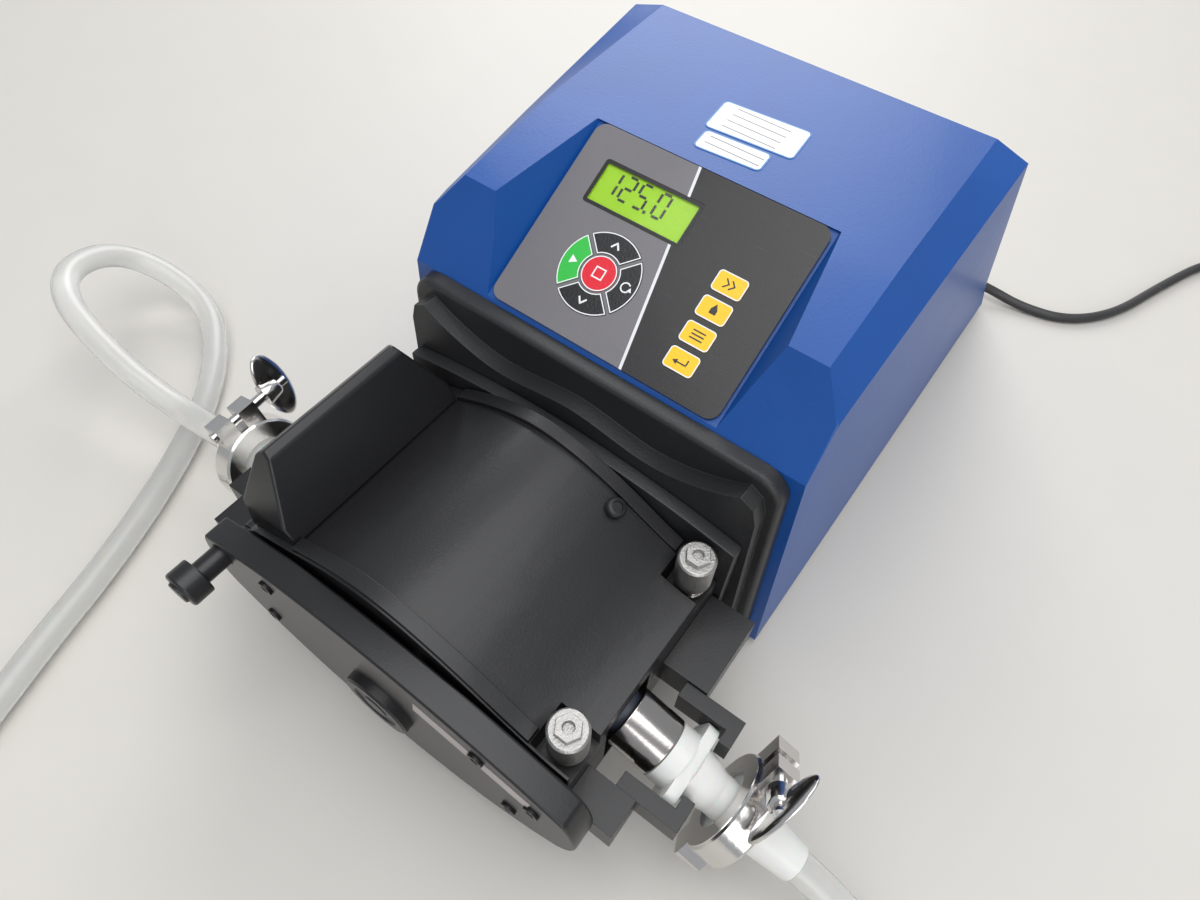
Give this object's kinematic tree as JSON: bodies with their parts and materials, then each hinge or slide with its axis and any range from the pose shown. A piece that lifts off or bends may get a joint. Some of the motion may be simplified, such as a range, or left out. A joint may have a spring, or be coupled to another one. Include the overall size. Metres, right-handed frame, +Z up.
{
  "type": "peristaltic pump",
  "caption": "Benchtop peristaltic pump: drive unit with sloping keypad, hinged roller pumphead, tube element with sanitary clamps, hoses and mains lead.",
  "frame": {"origin": "centre of the pump's footprint on the table, measured without hoses and mains lead", "axes": "+X to the right seen from the pumphead, +Y to the rear, +Z up; rotor axis along Y"},
  "size_m": [0.8465, 0.9089, 0.2186],
  "materials": {
    "blue_shell": "satin blue enamel, lightly textured",
    "grey_pan": "dark grey moulded",
    "black_plastic": "satin black with dust and scuffs",
    "keypad_film": "grey and black membrane film",
    "key_black": "black key with a white outline",
    "key_red": "red key",
    "key_green": "green key",
    "key_yellow": "yellow key",
    "display_window": "clear window",
    "display_panel": "green-yellow liquid crystal display",
    "circuit_board": "green board",
    "label_film": "white printed film",
    "gear_casting": "cast housing",
    "motor_can": "plated can",
    "supply_case": "folded sheet",
    "bright_aluminium": "turned, worn",
    "steel": "bright stainless steel",
    "dark_steel": "blackened steel",
    "polished_steel": "polished stainless steel",
    "roller_plastic": "pale nylon",
    "tube_rubber": "dark blue-grey rubber",
    "white_fitting": "milky polypropylene",
    "clear_hose": "translucent silicone",
    "hose_plug": "milky polypropylene",
    "lead_sheath": "black sheath"
  },
  "bodies": {
    "drive_unit": {"adaptor_left": "white_fitting", "adaptor_right": "white_fitting", "asset_labels": "label_film", "base_pan": "grey_pan", "bearings": "steel", "case_cover": "blue_shell", "clamp_left": "polished_steel", "clamp_right": "polished_steel", "collars": "steel", "control_board": "circuit_board", "feet": "black_plastic", "fitting_left": "white_fitting", "fitting_right": "white_fitting", "front_bezel": "grey_pan", "front_cover": "black_plastic", "gearbox": "gear_casting", "head_body": "black_plastic", "head_fasteners": "dark_steel", "head_flange": "grey_pan", "hose_end_left": "hose_plug", "hose_end_right": "hose_plug", "hose_left": "clear_hose", "hose_right": "clear_hose", "hub_cap": "black_plastic", "keypad_plate": "keypad_film", "lcd_module": "display_panel", "lcd_window": "display_window", "mains_coil": "lead_sheath", "mains_gland": "black_plastic", "mains_lead": "lead_sheath", "mains_plug": "lead_sheath", "motor": "motor_can", "port_blocks": "black_plastic", "power_supply": "supply_case", "rear_panel": "black_plastic", "remote_socket": "black_plastic", "tube_element": "tube_rubber"},
    "track_lid": {"track": "black_plastic", "track_handle": "black_plastic", "nut_springs": "steel"},
    "lock_nut_rear": {"lock_nut_rear": "bright_aluminium"},
    "lock_nut_front": {"lock_nut_front": "bright_aluminium"},
    "rotor": {"rotor": "steel"},
    "pull_knob": {"pull_knob": "black_plastic"},
    "wing_nut_right": {"wing_nut_right": "polished_steel"},
    "wing_nut_left": {"wing_nut_left": "polished_steel"},
    "mains_switch": {"mains_switch": "black_plastic"},
    "roller_1": {"roller_1": "roller_plastic"},
    "roller_2": {"roller_2": "roller_plastic"},
    "roller_3": {"roller_3": "roller_plastic"},
    "roller_4": {"roller_4": "roller_plastic"},
    "key_stop": {"key_stop": "key_red"},
    "key_direction": {"key_direction": "key_black"},
    "key_up": {"key_up": "key_black"},
    "key_start": {"key_start": "key_green"},
    "key_down": {"key_down": "key_black"},
    "key_max": {"key_max": "key_yellow"},
    "key_dose": {"key_dose": "key_yellow"},
    "key_menu": {"key_menu": "key_yellow"},
    "key_enter": {"key_enter": "key_yellow"}
  },
  "joints": [
    {"name": "track_hinge", "type": "hinge", "parent": "drive_unit", "child": "track_lid", "pos_m": [-0.103, -0.1708, 0.086], "axis": [0, -1, 0], "range_deg": [0, 60]},
    {"name": "lock_nut_rear_turn", "type": "hinge", "parent": "track_lid", "child": "lock_nut_rear", "pos_m": [0.087, -0.1223, 0.11], "axis": [0, 0, 1], "range_deg": [0, 90]},
    {"name": "lock_nut_front_turn", "type": "hinge", "parent": "track_lid", "child": "lock_nut_front", "pos_m": [0.087, -0.2178, 0.11], "axis": [0, 0, 1], "range_deg": [0, 90]},
    {"name": "rotor_turn", "type": "hinge", "parent": "drive_unit", "child": "rotor", "pos_m": [0, -0.1758, 0.068], "axis": [0, -1, 0], "continuous": true},
    {"name": "roller_1_turn", "type": "hinge", "parent": "rotor", "child": "roller_1", "pos_m": [0.0235, -0.1758, 0.068], "axis": [0, -1, 0], "continuous": true},
    {"name": "roller_2_turn", "type": "hinge", "parent": "rotor", "child": "roller_2", "pos_m": [0, -0.1758, 0.0915], "axis": [0, -1, 0], "continuous": true},
    {"name": "roller_3_turn", "type": "hinge", "parent": "rotor", "child": "roller_3", "pos_m": [-0.0235, -0.1758, 0.068], "axis": [0, -1, 0], "continuous": true},
    {"name": "roller_4_turn", "type": "hinge", "parent": "rotor", "child": "roller_4", "pos_m": [0, -0.1758, 0.0445], "axis": [0, -1, 0], "continuous": true},
    {"name": "pull_knob_pull", "type": "slide", "parent": "drive_unit", "child": "pull_knob", "axis": [0, -1, 0], "range_m": [0, 0.006], "stiffness_N_per_m": 400},
    {"name": "wing_nut_right_turn", "type": "hinge", "parent": "drive_unit", "child": "wing_nut_right", "pos_m": [0.17037, -0.18379, 0.09535], "axis": [0.2185, -0.7071, 0.6725], "continuous": true},
    {"name": "wing_nut_left_turn", "type": "hinge", "parent": "drive_unit", "child": "wing_nut_left", "pos_m": [-0.16729, -0.15786, 0.08588], "axis": [-0.0162, 0.9986, 0.0498], "continuous": true},
    {"name": "mains_switch_rock", "type": "hinge", "parent": "drive_unit", "child": "mains_switch", "pos_m": [-0.05, 0.22297, 0.0756], "axis": [1, 0, 0], "range_deg": [-5, 5]},
    {"name": "key_stop_press", "type": "slide", "parent": "drive_unit", "child": "key_stop", "axis": [0, 0.4787, -0.878], "range_m": [0, 0.0004], "stiffness_N_per_m": 800},
    {"name": "key_direction_press", "type": "slide", "parent": "drive_unit", "child": "key_direction", "axis": [0, 0.4787, -0.878], "range_m": [0, 0.0004], "stiffness_N_per_m": 800},
    {"name": "key_up_press", "type": "slide", "parent": "drive_unit", "child": "key_up", "axis": [0, 0.4787, -0.878], "range_m": [0, 0.0004], "stiffness_N_per_m": 800},
    {"name": "key_start_press", "type": "slide", "parent": "drive_unit", "child": "key_start", "axis": [0, 0.4787, -0.878], "range_m": [0, 0.0004], "stiffness_N_per_m": 800},
    {"name": "key_down_press", "type": "slide", "parent": "drive_unit", "child": "key_down", "axis": [0, 0.4787, -0.878], "range_m": [0, 0.0004], "stiffness_N_per_m": 800},
    {"name": "key_max_press", "type": "slide", "parent": "drive_unit", "child": "key_max", "axis": [0, 0.4787, -0.878], "range_m": [0, 0.0004], "stiffness_N_per_m": 800},
    {"name": "key_dose_press", "type": "slide", "parent": "drive_unit", "child": "key_dose", "axis": [0, 0.4787, -0.878], "range_m": [0, 0.0004], "stiffness_N_per_m": 800},
    {"name": "key_menu_press", "type": "slide", "parent": "drive_unit", "child": "key_menu", "axis": [0, 0.4787, -0.878], "range_m": [0, 0.0004], "stiffness_N_per_m": 800},
    {"name": "key_enter_press", "type": "slide", "parent": "drive_unit", "child": "key_enter", "axis": [0, 0.4787, -0.878], "range_m": [0, 0.0004], "stiffness_N_per_m": 800}
  ],
  "couplings": [
    {"joint": "roller_1_turn", "follows": "rotor_turn", "ratio": -3},
    {"joint": "roller_2_turn", "follows": "rotor_turn", "ratio": -3},
    {"joint": "roller_3_turn", "follows": "rotor_turn", "ratio": -3},
    {"joint": "roller_4_turn", "follows": "rotor_turn", "ratio": -3}
  ]
}
